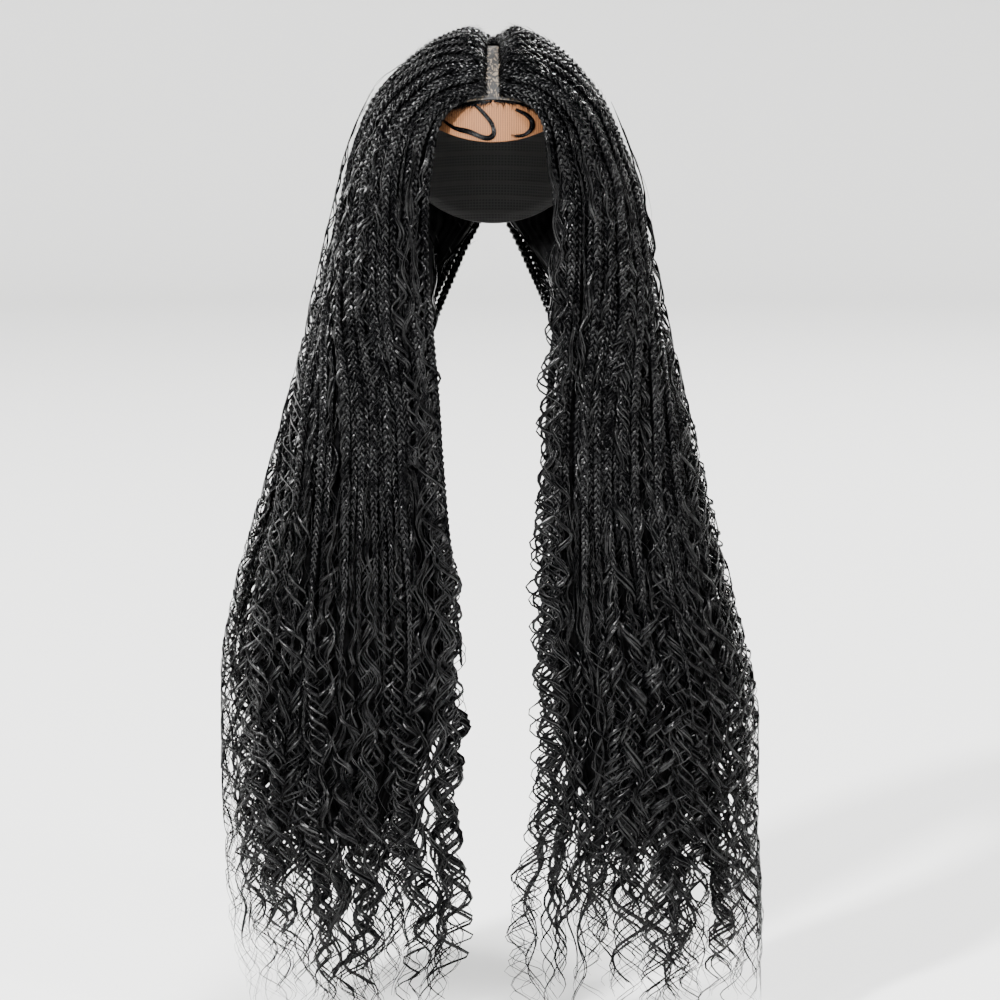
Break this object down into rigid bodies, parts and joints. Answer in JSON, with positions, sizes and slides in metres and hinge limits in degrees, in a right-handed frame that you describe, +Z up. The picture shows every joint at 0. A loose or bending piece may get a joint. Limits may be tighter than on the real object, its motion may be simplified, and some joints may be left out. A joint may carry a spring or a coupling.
{
  "type": "braid wig",
  "caption": "Long centre-parted box-braid wig with loose wavy curls, on a close cap with a sheer lace front, as worn on a head.",
  "frame": {"origin": "the inside of the cap at the crown, where the top of a head touches it", "axes": "+Z up along the head, -Y out of the face opening, +X to the right of the picture"},
  "size_m": [0.454, 0.241, 0.835],
  "materials": {
    "braided_hair": "tightly plaited synthetic fibre, near black, with a soft grey sheen on each lobe",
    "curled_hair": "loose wavy synthetic fibre, near black, with soft streaked sheen on the bends",
    "edge_hair": "fine fibre laid flat, near black",
    "cap_net": "matt black knitted net",
    "sheer_lace": "sheer skin-coloured lace with a fine mesh",
    "parting_lace": "skin-coloured lace with small dark knots"
  },
  "bodies": {
    "root": {"cap": "cap_net", "lace_front": "sheer_lace", "parting_strip": "parting_lace", "hair_body_left": "curled_hair", "hair_body_right": "curled_hair", "edge_hair_left": "edge_hair", "edge_hair_right": "edge_hair", "braid_left_01": "braided_hair", "braid_left_02": "braided_hair", "braid_left_03": "braided_hair", "braid_left_04": "braided_hair", "braid_left_05": "braided_hair", "braid_left_06": "braided_hair", "braid_left_07": "braided_hair", "braid_left_08": "braided_hair", "braid_left_09": "braided_hair", "braid_left_10": "braided_hair", "braid_left_11": "braided_hair", "braid_left_12": "braided_hair", "braid_left_13": "braided_hair", "braid_left_14": "braided_hair", "braid_right_01": "braided_hair", "braid_right_02": "braided_hair", "braid_right_03": "braided_hair", "braid_right_04": "braided_hair", "braid_right_05": "braided_hair", "braid_right_06": "braided_hair", "braid_right_07": "braided_hair", "braid_right_08": "braided_hair", "braid_right_09": "braided_hair", "braid_right_10": "braided_hair", "braid_right_11": "braided_hair", "braid_right_12": "braided_hair", "braid_right_13": "braided_hair", "braid_right_14": "braided_hair"}
  },
  "joints": []
}
